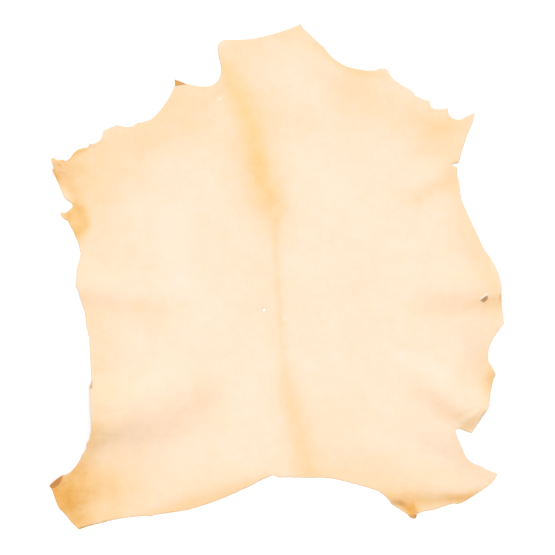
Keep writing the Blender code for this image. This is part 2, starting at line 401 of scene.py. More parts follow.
BANDS = (
    band(
        Tone.TAN, "spine, wash",
        (-108, 430, 72, 34, 0.09), (-86, 375, 90, 46, 0.23), (-62, 320, 90, 60, 0.25),
        (-45, 250, 74, 88, 0.39), (-26, 180, 66, 90, 0.37), (-4, 130, 52, 80, 0.36),
        (0, 90, 44, 60, 0.22), (-4, 40, 40, 64, 0.13), (-14, -60, 40, 76, 0.11),
        (0, -120, 40, 60, 0.06),
    ),
    band(
        Tone.TAN, "spine",
        (-115, 432, 20, 14, 0.18), (-102, 408, 28, 18, 0.20), (-80, 368, 40, 24, 0.19),
        (-62, 330, 38, 28, 0.23), (-47, 278, 34, 34, 0.24), (-40, 228, 30, 38, 0.29),
        (-27, 184, 34, 42, 0.31), (-13, 150, 32, 46, 0.33), (-1, 124, 18, 34, 0.18),
    ),
    band(
        Tone.TAN, "spine, line",
        (-3, 108, 13, 13, 0.18), (-3, 50, 9, 9, 0.24), (1, -20, 9, 9, 0.24), (5, -70, 10, 10, 0.20),
        (10, -120, 12, 12, 0.20), (14, -180, 20, 24, 0.25), (20, -220, 26, 32, 0.35),
        (30, -260, 32, 36, 0.39), (42, -310, 36, 36, 0.43), (52, -350, 44, 38, 0.42),
        (62, -402, 46, 44, 0.42),
    ),
    band(
        Tone.TAN, "left shoulder",
        (-420, 230, 120, 110, 0.25), (-330, 255, 90, 100, 0.29), (-200, 320, 90, 100, 0.36),
        (-120, 370, 80, 70, 0.18),
    ),
    band(
        Tone.TAN, "neck",
        (-130, 430, 80, 80, 0.05), (-50, 470, 50, 60, 0.18), (40, 490, 40, 50, 0.28),
        (98, 440, 56, 56, 0.18),
    ),
    band(
        Tone.TAN, "neck, right rim",
        (84, 462, 14, 14, 0.22), (124, 425, 13, 13, 0.36), (165, 407, 14, 16, 0.34),
        (212, 402, 16, 18, 0.26),
    ),
    band(
        Tone.TAN, "below the neck",
        (-20, 330, 80, 80, 0.12), (60, 310, 70, 70, 0.14), (150, 340, 90, 100, 0.12),
    ),
    band(
        Tone.TAN, "right shoulder",
        (150, 390, 60, 70, 0.18), (240, 350, 70, 90, 0.19), (320, 290, 70, 100, 0.28),
        (360, 230, 50, 80, 0.18),
    ),
    band(
        Tone.TAN, "right foreleg",
        (270, 300, 40, 50, 0.14), (330, 300, 44, 44, 0.30), (385, 306, 36, 36, 0.26),
    ),
    # Partly painted shade: the dark line on the shaded side of the right armpit's fold.
    band(
        Tone.TAN, "right armpit",
        (362, 215, 36, 40, 0.24), (344, 192, 36, 34, 0.34), (310, 174, 36, 30, 0.26),
        (280, 155, 36, 30, 0.18), (230, 150, 30, 30, 0.05),
    ),
    band(
        Tone.TAN, "right side",
        (372, 150, 20, 56, 0.20), (395, 90, 18, 64, 0.24), (418, 40, 16, 60, 0.28),
        (434, -10, 14, 56, 0.28), (440, -60, 14, 60, 0.24), (434, -110, 18, 60, 0.18),
        (416, -150, 26, 70, 0.17), (416, -200, 20, 60, 0.17), (406, -250, 20, 40, 0.06),
    ),
    # Partly painted shade: the warm shade on the lower slope of the right flank's fold, by the slit.
    band(
        Tone.TAN, "right flank",
        (450, -50, 32, 16, 0.40), (420, -50, 32, 16, 0.36), (380, -62, 26, 34, 0.16),
        (320, -64, 30, 36, 0.15), (270, -60, 26, 30, 0.06),
    ),
    band(
        Tone.TAN, "right side, point",
        (438, -186, 12, 24, 0.60), (432, -210, 12, 28, 0.74), (426, -240, 12, 20, 0.34),
        (420, -262, 12, 16, 0.05),
    ),
    band(
        Tone.TAN, "left foreleg",
        (-450, 224, 44, 26, 0.50), (-440, 202, 32, 30, 0.62), (-418, 184, 26, 22, 0.64),
        (-402, 164, 26, 22, 0.54), (-398, 146, 24, 22, 0.48),
    ),
    band(
        Tone.TAN, "left foreleg, wash",
        (-420, 230, 90, 40, 0.22), (-370, 170, 100, 40, 0.24), (-350, 110, 90, 50, 0.23),
        (-350, 50, 90, 50, 0.14), (-370, 0, 60, 40, 0.08),
    ),
    band(
        Tone.TAN, "left side",
        (-400, 50, 40, 30, 0.16), (-395, -20, 40, 30, 0.06), (-385, -60, 80, 30, 0.13),
        (-370, -120, 90, 30, 0.12), (-365, -190, 92, 30, 0.25), (-360, -250, 80, 30, 0.18),
        (-355, -290, 60, 40, 0.25),
    ),
    band(
        Tone.TAN, "left flank",
        (-380, -66, 46, 60, 0.13), (-250, -74, 46, 60, 0.15), (-190, -60, 30, 30, 0.04),
    ),
    band(
        Tone.TAN, "left thigh",
        (-362, -326, 40, 46, 0.26), (-320, -322, 50, 60, 0.10), (-285, -320, 60, 70, 0.14),
        (-230, -300, 60, 80, 0.14), (-150, -240, 50, 56, 0.16), (-110, -210, 30, 40, 0.06),
    ),
    band(
        Tone.TAN, "left hock",
        (-370, -308, 26, 22, 0.40), (-374, -332, 28, 24, 0.48), (-384, -356, 28, 30, 0.40),
        (-390, -370, 26, 28, 0.30),
    ),
    band(
        Tone.TAN, "left hind leg",
        (-450, -424, 60, 40, 0.66), (-406, -424, 78, 66, 0.72), (-370, -424, 80, 76, 0.73),
        (-345, -424, 76, 72, 0.64), (-315, -428, 66, 64, 0.42), (-280, -432, 60, 60, 0.17),
    ),
    band(
        Tone.TAN, "left hind leg, sole",
        (-412, -490, 24, 24, 0.30), (-375, -494, 30, 20, 0.46), (-325, -482, 34, 20, 0.34),
    ),
    band(
        Tone.TAN, "left buttock",
        (-300, -400, 70, 60, 0.12), (-240, -410, 70, 70, 0.18), (-100, -410, 50, 60, 0.12),
    ),
    band(
        Tone.TAN, "left buttock, rim",
        (-330, -490, 14, 14, 0.26), (-250, -478, 18, 18, 0.34), (-170, -462, 34, 24, 0.54),
        (-100, -440, 32, 26, 0.46), (-30, -408, 22, 20, 0.36), (0, -400, 10, 10, 0.20),
    ),
    band(
        Tone.TAN, "rump",
        (100, -280, 80, 90, 0.10), (110, -370, 70, 60, 0.22), (180, -380, 70, 60, 0.20),
        (250, -400, 60, 60, 0.22), (330, -400, 60, 60, 0.19), (400, -400, 40, 40, 0.05),
    ),
    band(
        Tone.TAN, "right buttock, rim",
        (60, -410, 30, 30, 0.25), (140, -412, 40, 36, 0.26), (200, -432, 50, 40, 0.30),
        (240, -455, 46, 40, 0.34),
    ),
    band(
        Tone.TAN, "right hind leg, sole",
        (214, -442, 20, 24, 0.45), (240, -452, 26, 24, 0.60), (262, -450, 30, 26, 0.66),
        (290, -448, 28, 30, 0.64), (312, -450, 26, 26, 0.60), (350, -446, 22, 24, 0.62),
        (385, -440, 20, 20, 0.60), (410, -425, 14, 14, 0.25),
    ),
    # Painted shade: the golden shade just below the crest of the sole's fold.
    band(
        Tone.TAN, "right hind leg, under the crest",
        (330, -436, 7, 10, 0.14), (348, -440, 8, 13, 0.42), (366, -443, 9, 13, 0.62),
        (384, -440, 8, 10, 0.55), (397, -437, 6, 8, 0.20),
        power=3,
    ),
    # Painted shade: the warm shade in the valley of the flap's fold.
    band(
        Tone.TAN, "flap of the tear",
        (374, -305, 11, 12, 0.30), (386, -295, 12, 14, 0.36), (398, -284, 11, 13, 0.36),
        (410, -268, 7, 10, 0.20),
        power=4,
    ),
    # Partly painted shade, on the lower slope of the right thigh's fold.
    band(
        Tone.TAN, "right thigh",
        (270, -222, 26, 26, 0.06), (310, -244, 30, 30, 0.12), (345, -270, 32, 32, 0.20),
        (372, -290, 30, 30, 0.22),
    ),
    band(
        Tone.TAN, "pale, left of the back",
        (-210, 120, 50, 50, -0.14), (-200, 0, 50, 50, -0.14),
    ),
    band(
        Tone.TAN, "pale, right thigh",
        (250, -160, 24, 24, -0.16), (330, -194, 26, 26, -0.18),
    ),
    band(
        Tone.TAN, "pale, left thigh",
        (-300, -225, 30, 30, -0.04), (-250, -210, 30, 30, -0.08),
    ),
    # Painted shade: a soft grey on the shaded slopes of the folds at the left thigh and hock, the right flank
    # and side, the right thigh, the flap of the tear, and the right hind leg and its sole.
    band(
        Tone.PAINTED_SHADE, "left thigh",
        (-385, -326, 40, 44, 0.12), (-345, -322, 50, 58, 0.15), (-285, -316, 60, 66, 0.17),
        (-235, -300, 54, 60, 0.15), (-183, -270, 42, 46, 0.12), (-130, -232, 30, 34, 0.06),
    ),
    band(
        Tone.PAINTED_SHADE, "left hock",
        (-360, -345, 30, 30, 0.08), (-375, -375, 30, 30, 0.10), (-410, -395, 24, 24, 0.14),
    ),
    band(
        Tone.PAINTED_SHADE, "right flank",
        (448, -47, 16, 10, 0.06), (420, -48, 16, 10, 0.05), (400, -54, 26, 26, 0.06),
        (310, -56, 30, 30, 0.04),
    ),
    band(
        Tone.PAINTED_SHADE, "right side",
        (385, -90, 50, 50, 0.06), (400, -160, 50, 50, 0.12),
    ),
    band(
        Tone.PAINTED_SHADE, "right thigh",
        (262, -214, 24, 24, 0.05), (306, -241, 28, 28, 0.10), (340, -265, 32, 32, 0.12),
        (372, -292, 32, 32, 0.14),
    ),
    band(
        Tone.PAINTED_SHADE, "flap of the tear",
        (374, -304, 10, 11, 0.12), (386, -294, 11, 13, 0.14), (398, -284, 10, 11, 0.18),
        (408, -270, 6, 8, 0.12),
        power=4,
    ),
    band(
        Tone.PAINTED_SHADE, "right hind leg",
        (280, -330, 40, 40, 0.08), (350, -350, 40, 40, 0.20), (420, -400, 30, 30, 0.11),
    ),
    band(
        Tone.PAINTED_SHADE, "right hind leg, sole",
        (234, -451, 12, 10, 0.28), (250, -454, 11, 9, 0.28), (262, -462, 8, 8, 0.05),
        (276, -468, 12, 12, 0.05), (330, -446, 14, 14, 0.10), (400, -434, 14, 14, 0.16),
    ),
    band(
        Tone.BROWN, "lower corner of the left hind leg",
        (-393, -505, 4.5, 5, 0.85), (-374, -499.6, 4.5, 4.5, 0.75), (-362, -496.6, 4, 4, 0.45),
        (-352, -494, 4, 4, 0.20),
    ),
    band(
        Tone.BROWN, "above the lower point",
        (233, -452, 8, 8, 0.30), (246, -454, 8, 8, 0.32), (255, -458, 6, 6, 0.10),
    ),
    band(
        Tone.BROWN, "nick of the left side",
        (-371, -210, 4, 4, 0.50), (-371, -222, 4, 4, 0.70),
    ),
    # A rolled-back lip below the slit is painted, not built: its brown flesh side, and painted shade over it.
    band(
        Tone.BROWN, "below the slit",
        (408.6, -47.6, 2, 3, 0.52), (412.6, -46.4, 2.8, 6, 0.62), (417, -43.4, 2.8, 4.6, 0.60),
        (419, -40.6, 2, 2.6, 0.50),
        power=4,
    ),
    band(
        Tone.PAINTED_SHADE, "below the slit",
        (408.6, -47.6, 2, 3, 0.90), (412.6, -46.4, 2.8, 6, 1.00), (417, -43.4, 2.8, 4.6, 1.00),
        (419, -40.6, 2, 2.6, 0.90),
        power=4,
    ),
    band(
        Tone.BROWN, "flank edge",
        (446, -38, 3, 4, 0.22), (447, -45, 3, 4, 0.22),
    ),
    band(
        Tone.SCAR, "neck",
        (-114, 357, 4, 4, 0.60), (-114, 355, 4, 4, 0.60),
    ),
    band(
        Tone.SCAR, "back",
        (15, -83, 4, 4, 0.60), (16, -85, 4, 4, 0.60),
    ),
    band(
        Tone.TAN, "left foreleg, elbow",
        (-397, 122, 25, 33, 0.68), (-396, 104, 27, 34, 0.68),
        power=5,
    ),
    band(
        Tone.TAN, "pale, left shin",
        (-426, 190, 7, 7, -0.10), (-420, 166, 8, 8, -0.04),
    ),
    band(
        Tone.SCAR, "above the slit",
        (407.4, -44, 2.4, 2.4, 0.50), (413.5, -39.4, 2.8, 2.8, 0.56), (419.4, -34.8, 2.6, 2.6, 0.55),
        power=4,
    ),
    band(
        Tone.TAN, "flank edge",
        (446, -37, 3, 4, 0.70), (447, -46, 3, 4, 0.70),
    ),
    band(
        Tone.GOLD, "spine",
        (-112, 430, 26, 18, 0.10), (-100, 405, 30, 20, 0.24), (-80, 368, 36, 24, 0.30),
        (-62, 330, 30, 26, 0.42), (-46, 278, 28, 28, 0.36), (-36, 228, 28, 30, 0.34),
        (-25, 184, 28, 32, 0.28), (-10, 150, 28, 30, 0.14), (0, 110, 16, 16, 0.06),
    ),
    band(
        Tone.TAN, "left foreleg, top",
        (-424, 224, 18, 20, 0.32), (-404, 220, 26, 36, 0.40), (-380, 212, 30, 38, 0.20),
        (-345, 205, 40, 40, 0.04),
    ),
    band(
        Tone.TAN, "left foreleg, outline",
        (-424, 230, 7, 7, 0.50), (-413, 237, 8, 8, 0.74), (-400, 248, 8, 8, 0.80),
        (-382, 254, 8, 8, 0.55), (-376, 264, 8, 8, 0.36),
    ),
    band(
        Tone.TAN, "left foreleg, barb",
        (-431, 124, 8, 8, 0.45), (-416, 121, 11, 11, 0.60),
        power=3,
    ),
    band(
        Tone.TAN, "left foreleg, below the elbow",
        (-397, 86, 20, 20, 0.34), (-392, 72, 16, 16, 0.26),
    ),
    band(
        Tone.TAN, "left hind leg, outer side",
        (-400, -382, 46, 30, 0.44), (-408, -398, 56, 50, 0.72), (-424, -430, 64, 64, 0.88),
        (-424, -456, 64, 64, 0.88), (-418, -478, 60, 50, 0.76), (-408, -490, 46, 40, 0.56),
        power=3,
    ),
    band(
        Tone.TAN, "lower point",
        (256, -460, 13, 12, 0.60), (268, -466, 16, 16, 0.88), (272, -472, 16, 16, 0.94),
        (270, -481, 13, 13, 0.96),
        power=3,
    ),
    band(
        Tone.GOLD, "lower point",
        (258, -462, 14, 12, 0.20), (268, -466, 16, 16, 0.45), (272, -472, 16, 16, 0.50),
        (270, -481, 13, 13, 0.45),
        power=3,
    ),
    band(
        Tone.BROWN, "lower point",
        (266, -481, 6, 6, 0.30), (273, -482, 7, 7, 0.40),
        power=3,
    ),
    # Painted shade: a faint dark band above the flap's crest.
    band(
        Tone.TAN, "flap of the tear, above",
        (356, -282, 5, 5, 0.10), (370, -276, 5, 5, 0.14), (398, -262, 4, 4, 0.14),
        (412, -258, 4, 4, 0.04),
    ),
    band(
        Tone.BROWN, "flap of the tear, edge",
        (402, -292, 2.4, 2.4, 0.10), (408, -281, 2.4, 2.4, 0.45), (416, -268, 2.4, 2.4, 0.30),
    ),
    band(
        Tone.BROWN, "left foreleg, wrinkles",
        (-443, 228, 2.8, 2.8, 0.10), (-436, 223, 2.8, 2.8, 0.34), (-427, 219, 2.8, 2.8, 0.10),
    ),
    band(
        Tone.BROWN, "left foreleg, lower wrinkles",
        (-446, 214, 2.8, 2.8, 0.06), (-434, 208, 2.8, 2.8, 0.18), (-420, 206, 2.8, 2.8, 0.06),
    ),
    band(
        Tone.BROWN, "left foreleg, upper wrinkles",
        (-378, 262, 2.8, 2.8, 0.06), (-370, 259, 2.8, 2.8, 0.20), (-358, 255, 2.8, 2.8, 0.04),
    ),
    band(
        Tone.TAN, "left foreleg, edge",
        (-450, 212, 8, 10, 0.70), (-440, 198, 8, 10, 0.84), (-434, 184, 6, 7, 0.24),
    ),
    band(
        Tone.GOLD, "left foreleg, elbow",
        (-397, 122, 25, 33, 0.26), (-396, 104, 27, 34, 0.26),
        power=5,
    ),
    band(
        Tone.GOLD, "left hind leg",
        (-420, -400, 46, 46, 0.20), (-420, -440, 56, 56, 0.34), (-414, -476, 50, 50, 0.30),
        power=3,
    ),
    band(
        Tone.BROWN, "sole of the left hind leg",
        (-348, -493, 4, 4, 0.70), (-342, -491.6, 4, 4, 0.70),
    ),
)


def unit(degrees: float) -> Array:
    """The unit vector at a bearing counted from +X toward +Y."""
    turn = math.radians(degrees)
    return np.array((math.cos(turn), math.sin(turn)))


def smooth(share: Array) -> Array:
    """An even step from 0 to 1 with level ends."""
    share = np.clip(share, 0, 1)
    return share * share * (3 - 2 * share)


def arc(start: Array, end: Array, bow: float, pitch: float) -> list[Array]:
    """Points along an arc, up to but not including its end.

    Args:
        start: The first point.
        end: The last point.
        bow: How far the arc rises on the left of the way it runs.
        pitch: About how far apart the points are.

    Returns:
        The points.
    """
    chord = end - start
    length = math.hypot(*chord)
    along = chord / length
    across = np.array((-along[1], along[0]))
    count = max(1, round(length / pitch))
    if bow == 0:
        return [start + chord * (step / count) for step in range(count)]
    half_angle = 2 * math.atan(2 * bow / length)
    radius = length / (2 * math.sin(half_angle))
    centre = (start + end) / 2 + across * (bow - radius)
    turns = np.linspace(-half_angle, half_angle, count + 1)[:-1]
    return [centre + radius * (math.sin(t) * along + math.cos(t) * across) for t in turns]


def inside(points: Array, loop: Array) -> Array:
    """Which points lie inside a closed loop.

    Args:
        points: The points, a row each.
        loop: The loop's corners in order, a row each.

    Returns:
        True or false for each point.
    """
    found = np.zeros(len(points), bool)
    for start, end in zip(loop, np.roll(loop, -1, axis=0)):
        if start[1] == end[1]:
            continue
        low, high = sorted((start[1], end[1]))
        level = (points[:, 1] >= low) & (points[:, 1] < high)
        at = start[0] + (points[level, 1] - start[1]) / (end[1] - start[1]) * (end[0] - start[0])
        found[level] ^= points[level, 0] < at
    return found


def distance_to(points: Array, loop: Array, far: float) -> Array:
    """How far points lie from a closed loop.

    Args:
        points: The points, a row each.
        loop: The loop's corners in order, a row each.
        far: The distance past which it isn't measured.

    Returns:
        The distance for each point, at most far.
    """
    nearest = np.full(len(points), far)
    for start, end in zip(loop, np.roll(loop, -1, axis=0)):
        low, high = np.minimum(start, end) - far, np.maximum(start, end) + far
        near = np.flatnonzero(((points > low) & (points < high)).all(axis=1))
        side = end - start
        share = np.clip((points[near] - start) @ side / (side @ side), 0, 1)
        gap = np.hypot(*(points[near] - start - share[:, None] * side).T)
        nearest[near] = np.minimum(nearest[near], gap)
    return nearest


def noise_at(points: Array, size: float, seed: float) -> Array:
    """Even noise from about -1 to 1 over the flat skin.

    Args:
        points: The flat points in metres, a row each.
        size: How far apart its lumps are, in metres.
        seed: Which of many patterns it takes.

    Returns:
        The value for each point.
    """
    return np.array([noise.noise(Vector((x / size, y / size, seed))) for x, y in points])


@dataclass(frozen=True)
class Relief:
    """The height of the skin: its folds, rolled tips, creases and faint waves.

    Sizes are in metres.
    """

    folds: tuple[Fold, ...] = FOLDS
    creases: tuple[Crease, ...] = CREASES
    curls: tuple[Curl, ...] = CURLS
    wave: float = 1.1 * MM
    wave_size: float = 85 * MM
    ripple: float = 0.35 * MM
    ripple_size: float = 24 * MM
    edge_fade: float = 1.5
    curl_reach: float = 10

    def lift(self, points: Array, from_edge: Array) -> Array:
        """How far the flesh side is off the floor.

        Args:
            points: The flat points, a row each.
            from_edge: How far each lies from the cut edge.

        Returns:
            The height of each point.
        """
        folded = sum(self._fold(fold, points) for fold in self.folds)
        near = np.exp(-from_edge / (45 * MM))
        wave = self.wave * np.clip(noise_at(points, self.wave_size, 3.1) + 0.1, 0, 1)
        ripple = self.ripple * np.clip(noise_at(points, self.ripple_size, 8.7), 0, 1)
        return folded + wave * (0.35 + 0.65 * near) + ripple * (0.2 + 0.8 * near)

    def on_grain(self, points: Array) -> Array:
        """How far the creases raise or sink the grain side alone at each flat point."""
        return sum(self._crease(crease, points) for crease in self.creases)

    def placed(self, points: Array, heights: Array) -> Array:
        """The flesh side in space, with each tip rolled.

        Args:
            points: The flat points, a row each.
            heights: The height of each before it is rolled.

        Returns:
            The points in space, a row each.
        """
        found = np.column_stack((points, heights))
        for curl in self.curls:
            past, _ = self.curl_frame(curl, points)
            on_tip = (past > 0) & self.in_curl(curl, points, 0)
            turned = self._roll(past, curl.radius * MM, curl.turn, unit(curl.bearing))
            found[on_tip] += turned[on_tip]
        return found

    def curl_frame(self, curl: Curl, points: Array) -> tuple[Array, Array]:
        """How far each point lies past the curl's hinge, and how far along it."""
        out = unit(curl.bearing)
        offset = points - np.array((curl.x, curl.y)) * MM
        beside = offset @ np.array((-out[1], out[0]))
        share = np.clip(beside / (curl.half_length * MM), -1, 1)
        return offset @ out - curl.bow * MM * (1 - share * share), beside

    def in_curl(self, curl: Curl, points: Array, slack: float) -> Array:
        """Which points lie on a tip that rolls, or within slack of one."""
        past, beside = self.curl_frame(curl, points)
        reach = self.curl_reach * curl.radius * MM
        return (past > -slack) & (past < reach) & (abs(beside) < curl.half_length * MM + slack)

    def _roll(self, past: Array, radius: float, degrees: float, out: Array) -> Array:
        """How a roll moves points that lie past its hinge.

        Args:
            past: How far each point lies past the hinge.
            radius: The radius of the roll.
            degrees: How far the roll turns before it runs on straight.
            out: The direction that the tip points to before it rolls.

        Returns:
            The move of each point in space, a row each.
        """
        turn = math.radians(degrees)
        angle = np.minimum(past / radius, turn)
        straight = np.maximum(past - radius * turn, 0)
        outward = radius * np.sin(angle) + straight * math.cos(turn) - past
        upward = radius * (1 - np.cos(angle)) + straight * math.sin(turn)
        return np.column_stack((np.outer(outward, out), upward))

    def _line_frame(self, line: Fold | Crease, points: Array) -> tuple[Array, Array, float]:
        """Where points lie against a bowed line.

        Args:
            line: The fold or crease.
            points: The flat points, a row each.

        Returns:
            The share of the line's length, the offset to its left, and the line's length.
        """
        start, end = np.array((line.x, line.y)) * MM, np.array((line.to_x, line.to_y)) * MM
        length = math.hypot(*(end - start))
        along = (end - start) / length
        across = np.array((-along[1], along[0]))
        share = (points - start) @ along / length
        ridge = 4 * line.bow * MM * np.clip(share, 0, 1) * (1 - np.clip(share, 0, 1))
        return share, (points - start) @ across - ridge, length

    def _fold(self, fold: Fold, points: Array) -> Array:
        """How far one fold lifts the flesh side at each point."""
        share, off, length = self._line_frame(fold, points)
        reach = np.where(off > 0, fold.left, fold.right) * MM
        section = np.where(abs(off) < reach, np.cos(off / reach * math.pi / 2) ** 2, 0)
        if fold.margin:
            lift = smooth(2 * share) * smooth(2 * (1 - share))
        else:
            fade = self.edge_fade * max(fold.left, fold.right) * MM
            lift = np.where(share > 0, smooth(1 - share), smooth(1 + share * length / fade))
        return fold.rise * MM * section * lift

    def _crease(self, crease: Crease, points: Array) -> Array:
        """How far one crease raises or sinks the grain side at each point."""
        share, off, _ = self._line_frame(crease, points)
        section = np.exp(-2 * (off / (crease.width * MM)) ** 2)
        ends = smooth(4 * share) * smooth(4 * (1 - share))
        return crease.depth * MM * section * ends


@dataclass(frozen=True)
class Pattern:
    """The skin as it would lie if pressed flat. Sizes are in metres."""

    relief: Relief
    edge_pitch: float = 2.2 * MM
    fine_pitch: float = 2.7 * MM
    wide_step: int = 2
    fine_reach: float = 22 * MM
    roll_pitch: float = 1.1 * MM
    roll_slack: float = 4 * MM
    hole_reach: float = 9 * MM
    rim_pitch: float = 1.2 * MM
    margin: float = 0.55
    merge: float = 0.00001
    ragged: float = 0.45 * MM
    ragged_size: float = 9 * MM
    far: float = 0.12

    def edge(self) -> Array:
        """The cut edge as a closed list of points, slightly ragged."""
        corners = [np.array((corner.x, corner.y)) * MM for corner in EDGE]
        edge = []
        for index, corner in enumerate(EDGE):
            start, end = corners[index], corners[(index + 1) % len(corners)]
            probe = np.array((start, (start + end) / 2, end))
            near_curl = self._in_curls(probe, self.roll_slack).any()
            edge += arc(start, end, corner.bow * MM, self.roll_pitch if near_curl else self.edge_pitch)
        edge = np.array(edge)
        way = np.roll(edge, -1, axis=0) - np.roll(edge, 1, axis=0)
        out = np.column_stack((-way[:, 1], way[:, 0])) / np.hypot(*way.T)[:, None]
        rough = noise_at(edge, self.ragged_size, 1.7) + 0.5 * noise_at(edge, self.ragged_size / 3, 5.3)
        return edge + out * (self.ragged * rough)[:, None]

    def rims(self) -> list[Array]:
        """The rim of each hole as a closed list of points."""
        found = []
        for hole in HOLES:
            sides = max(12, round(math.tau * hole.long * MM * 0.75 / self.rim_pitch))
            turns = np.arange(sides) * math.tau / sides
            along, across = unit(hole.lean), unit(hole.lean + 90)
            oval = hole.long * np.outer(np.cos(turns), along) + hole.short * np.outer(np.sin(turns), across)
            found.append((np.array((hole.x, hole.y)) + oval) * MM)
        return found

    def cut(self) -> tuple[Array, Array, Array]:
        """Cuts the flat skin into triangles.

        Returns:
            Its points, its triangles, and how far each point lies from the cut edge.
        """
        edge, rims = self.edge(), self.rims()
        loops = [edge, *rims]
        sides: list[tuple[int, int]] = []
        first = 0
        for loop in loops:
            sides += [(first + step, first + (step + 1) % len(loop)) for step in range(len(loop))]
            first += len(loop)
        points = np.concatenate(loops + [self._lattice(edge, rims), self._roll_points(edge, rims)])
        corners, _, faces, *_ = delaunay_2d_cdt([Vector(p) for p in points], sides, [], 1, self.merge)
        points, faces = np.array([tuple(corner) for corner in corners]), np.array(faces)
        middles = points[faces].mean(axis=1)
        on_skin = inside(middles, edge)
        for rim in rims:
            on_skin &= ~inside(middles, rim)
        used, faces = np.unique(faces[on_skin], return_inverse=True)
        points = points[used]
        return points, faces.reshape(-1, 3), distance_to(points, edge, self.far)

    def _in_curls(self, points: Array, slack: float) -> Array:
        """Which points lie on any tip that rolls, or within slack of one."""
        return np.any([self.relief.in_curl(curl, points, slack) for curl in CURLS], axis=0)

    def _near_holes(self, points: Array) -> Array:
        """Which points lie on or near a hole."""
        found = np.zeros(len(points), bool)
        for hole in HOLES:
            room = np.hypot(*(points - np.array((hole.x, hole.y)) * MM).T)
            found |= room < hole.long * MM + self.hole_reach
        return found

    def _grid(self, low: Array, high: Array, pitch: float) -> tuple[Array, Array, Array]:
        """Points of a triangular grid over a box.

        Args:
            low: The box's lowest corner.
            high: Its highest corner.
            pitch: How far apart the points are.

        Returns:
            The points, and the row and column of each.
        """
        row_pitch = pitch * math.sqrt(3) / 2
        rows = round((high[1] - low[1]) / row_pitch) + 1
        columns = round((high[0] - low[0]) / pitch) + 1
        row, column = (index.ravel() for index in np.mgrid[0:rows, -(rows // 2):columns])
        points = low + np.column_stack((column * pitch + row * pitch / 2, row * row_pitch))
        kept = (points[:, 0] >= low[0]) & (points[:, 0] <= high[0])
        return points[kept], row[kept], column[kept]

    def _lattice(self, edge: Array, rims: list[Array]) -> Array:
        """Points across the skin: close together near its edges and creases, wide elsewhere.

        Args:
            edge: The cut edge.
            rims: The rims of the holes.

        Returns:
            The points, a row each.
        """
        points, row, column = self._grid(edge.min(axis=0), edge.max(axis=0), self.fine_pitch)
        kept = inside(points, edge)
        points, row, column = points[kept], row[kept], column[kept]
        wide = (row % self.wide_step == 0) & (column % self.wide_step == 0)
        room = distance_to(points, edge, self.far)
        around = np.min([distance_to(points, rim, self.far) for rim in rims], axis=0)
        creased = abs(self.relief.on_grain(points)) > 0.02 * MM
        kept = wide | creased | (np.minimum(room, around) < self.fine_reach)
        kept &= np.minimum(room, around) > self.margin * self.fine_pitch
        kept &= ~self._in_curls(points, self.roll_slack) & ~self._near_holes(points)
        return points[kept]

    def _roll_points(self, edge: Array, rims: list[Array]) -> Array:
        """Points close enough together to bend round each roll and to stain round each hole.

        Args:
            edge: The cut edge.
            rims: The rims of the holes.

        Returns:
            The points, a row each.
        """
        found = []
        for curl in CURLS:
            reach = max(curl.half_length, self.relief.curl_reach * curl.radius) * MM + self.roll_slack
            centre = np.array((curl.x, curl.y)) * MM
            points, _, _ = self._grid(centre - reach, centre + reach, self.roll_pitch)
            found.append(points[self._in_curls(points, self.roll_slack)])
        for hole in HOLES:
            reach = hole.long * MM + self.hole_reach
            centre = np.array((hole.x, hole.y)) * MM
            points, _, _ = self._grid(centre - reach, centre + reach, self.roll_pitch)
            found.append(points[self._near_holes(points)])
        points = np.concatenate(found)
        points = points[inside(points, edge)]
        for rim in rims:
            points = points[~inside(points, rim)]
        room = np.min([distance_to(points, loop, self.far) for loop in (edge, *rims)], axis=0)
        return points[room > self.margin * self.roll_pitch]


@dataclass(frozen=True)
class Stains:
    """Where each tone lies on the skin."""

    bands: tuple[Band, ...] = BANDS
    middle_tan: float = 0.23
    rim_tan: float = 0.06
    rim_depth: float = 45 * MM

    def masks(self, points: Array, from_edge: Array) -> dict[Tone, Array]:
        """The strength of each tone.

        Args:
            points: The flat points, a row each.
            from_edge: How far each lies from the cut edge.

        Returns:
            The strength at each point, by tone.
        """
        found = {tone: np.zeros(len(points)) for tone in Tone}
        found[Tone.TAN] += self.middle_tan + self.rim_tan * np.exp(-from_edge / self.rim_depth)
        for band in self.bands:
            mask = self._band(band, points)
            found[band.tone] = 1 - (1 - found[band.tone]) * (1 - mask)
        return found

    def _band(self, band: Band, points: Array) -> Array:
        """The strength of one band at each point."""
        found = np.zeros(len(points))
        for first, second in zip(band.stations, band.stations[1:]):
            start, end = np.array((first.x, first.y)) * MM, np.array((second.x, second.y)) * MM
            side = end - start
            share = np.clip((points - start) @ side / (side @ side), 0, 1)
            off = points - start - share[:, None] * side
            on_left = off @ np.array((-side[1], side[0])) > 0
            left = first.left + share * (second.left - first.left)
            right = first.right + share * (second.right - first.right)
            reach = np.where(on_left, left, right) * MM
            strength = first.strength + share * (second.strength - first.strength)
            here = strength * np.exp(-2 * (np.hypot(*off.T) / reach) ** band.power)
            found = np.where(abs(here) > abs(found), here, found)
        return found


